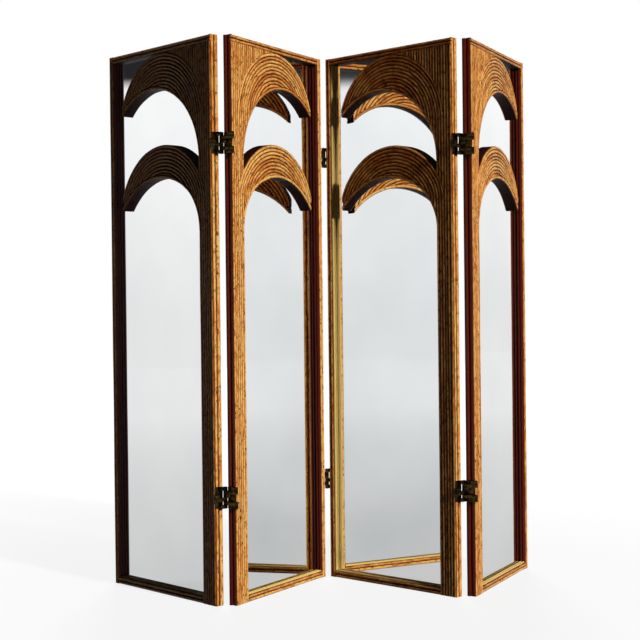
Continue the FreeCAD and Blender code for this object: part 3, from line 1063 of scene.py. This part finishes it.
class SCREEN_OT_hinges(bpy.types.Operator):
    """Makes the two double-acting hinges between each pair of panels"""

    bl_idname = "screen.hinges"
    bl_label = "Hinges"

    def execute(self, context):
        size = panels()
        # Patches of tarnish 11 mm wide on the brass and 5 mm on the pins
        brass = metal_material("aged_brass", "brass", "brass_dark", 90.0, 0.55)
        steel = metal_material("steel_pin", "steel", "steel_dark", 200.0, 0.4)
        for left in range(len(PIVOTS)):
            pair = "%d_%d" % (left + 1, left + 2)
            # Only the middle junction turns on its front line
            back_pin = left != 1
            # Left and right panel's index, and the middle of the gap in that panel's frame
            sides = (left, size.width + size.flat_gap / 2), (left + 1, -size.flat_gap / 2)
            riders = {
                "left_leaves": 0,
                "right_leaves": 1,
                "middle_straps": 0 if back_pin else 1,
                "outer_straps": 1 if back_pin else 0,
                "pins": 0 if back_pin else 1,
            }
            for part, made in hinge_parts(back_pin).items():
                index, middle = sides[riders[part]]
                upper = copied(made)
                made.location.z = size.hinge_inset
                upper.location.z = size.height - size.hinge_inset
                both = joined([made, upper], part)
                place = panel_place(index) @ Matrix.Translation((middle, 0, 0))
                piece = put(both, place, "hinge_%s_%s_visual" % (pair, part))
                if part == "pins":
                    finish_with(piece, steel, "pin_steel")
                else:
                    finish_with(piece, brass, "hinge_brass")
                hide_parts("hinge_%s_%s" % (pair, part))
                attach(piece, "panel_%d" % (index + 1))
        return {"FINISHED"}


class SCREEN_OT_stage(bpy.types.Operator):
    """Sets the floor, the lights, the white surround and the camera"""

    bl_idname = "screen.stage"
    bl_label = "Stage"

    def execute(self, context):
        scene = context.scene
        scene.view_settings.view_transform = "Standard"
        bpy.ops.object.select_all(action="DESELECT")
        bpy.ops.mesh.primitive_plane_add(size=40, location=(0, 0, 0))
        floor = context.object
        floor.name = "floor"
        floor.data.materials.append(floor_material())

        world = bpy.data.worlds.new("studio")
        scene.world = world
        world.use_nodes = True
        tree = world.node_tree
        # White to the eye; in reflections pale walls stand under a ceiling dark from 9 degrees up
        path = add(tree, "ShaderNodeLightPath").outputs
        aim = add(tree, "ShaderNodeTexCoord").outputs["Generated"]
        rise = add(tree, "ShaderNodeSeparateXYZ", {0: aim}).outputs[2]
        ceiling = add(tree, RANGE, {0: rise, 1: 0.149, 2: 0.156, 3: 1.0, 4: 0.02})
        wall = add(tree, RANGE, {0: rise, 1: 0.0, 2: 0.13, 3: 0.82, 4: 0.98})
        room = add(tree, MATH, {0: wall, 1: ceiling}, operation="MULTIPLY")
        mirrored = mirror_glow(tree, path, room)
        shown = add(tree, MATH, {0: path["Is Camera Ray"], 1: mirrored}, operation="MAXIMUM")
        level = add(tree, MATH, {0: shown, 1: 0.006}, operation="MAXIMUM")
        fill(tree, tree.nodes["Background"], {"Color": WHITE, "Strength": level})

        # A key from the right of the camera, and a fill for the backs that no front face meets
        for name, turn, lift, energy, spread in (
            ("key", 43, 26, 3.6, 4),
            ("back_fill", 180, 35, 2.2, 20),
        ):
            bpy.ops.object.light_add(type="SUN")
            lamp = context.object
            lamp.name = name
            lamp.data.energy = energy
            lamp.data.angle = math.radians(spread)
            # The mirrors throw no patches of lamp light
            lamp.visible_glossy = False
            lamp.rotation_euler = (math.radians(90 - lift), 0, math.radians(turn))
            lamp.location = lamp.rotation_euler.to_matrix() @ Vector((0, 0, 5))

        bpy.ops.object.camera_add()
        camera = context.object
        forward = Vector((0, math.cos(CAMERA_PITCH), math.sin(CAMERA_PITCH)))
        up = Vector((0, -math.sin(CAMERA_PITCH), math.cos(CAMERA_PITCH)))
        right = Vector((1, 0, 0))
        right, up = right + CAMERA_ROLL * up, up - CAMERA_ROLL * right
        right.normalize()
        up.normalize()
        turn = Matrix((right, up, -forward)).transposed().to_4x4()
        camera.matrix_world = Matrix.Translation(CAMERA_PLACE) @ turn
        camera.data.sensor_width = SENSOR_WIDTH
        camera.data.lens = FOCAL_PIXELS / FRAME_PIXELS * SENSOR_WIDTH
        scene.camera = camera
        return {"FINISHED"}


class SCREEN_PT_sidebar(bpy.types.Panel):
    """Lists the steps that build the screen"""

    bl_label = "Reed Screen"
    bl_idname = "SCREEN_PT_sidebar"
    bl_space_type = "VIEW_3D"
    bl_region_type = "UI"
    bl_category = "Reed Screen"

    def draw(self, context):
        for step in STEPS:
            self.layout.operator(step.bl_idname)


STEPS = (
    SCREEN_OT_facings,
    SCREEN_OT_edges,
    SCREEN_OT_frames,
    SCREEN_OT_hinges,
    SCREEN_OT_stage,
)
GROUPS = {
    "screen_panels": PanelSizes,
    "screen_reeds": ReedSizes,
    "screen_hinges": HingeSizes,
    "screen_colours": ScreenColours,
}
CLASSES = (*GROUPS.values(), *STEPS, SCREEN_PT_sidebar)


def register():
    for item in CLASSES:
        bpy.utils.register_class(item)
    for name, group in GROUPS.items():
        setattr(bpy.types.Scene, name, bpy.props.PointerProperty(type=group))


def unregister():
    for name in GROUPS:
        delattr(bpy.types.Scene, name)
    for item in reversed(CLASSES):
        bpy.utils.unregister_class(item)


def main():
    register()
    bpy.ops.screen.facings()
    bpy.ops.screen.edges()
    bpy.ops.screen.frames()
    bpy.ops.screen.hinges()
    bpy.ops.screen.stage()


if __name__ == "__main__":
    main()
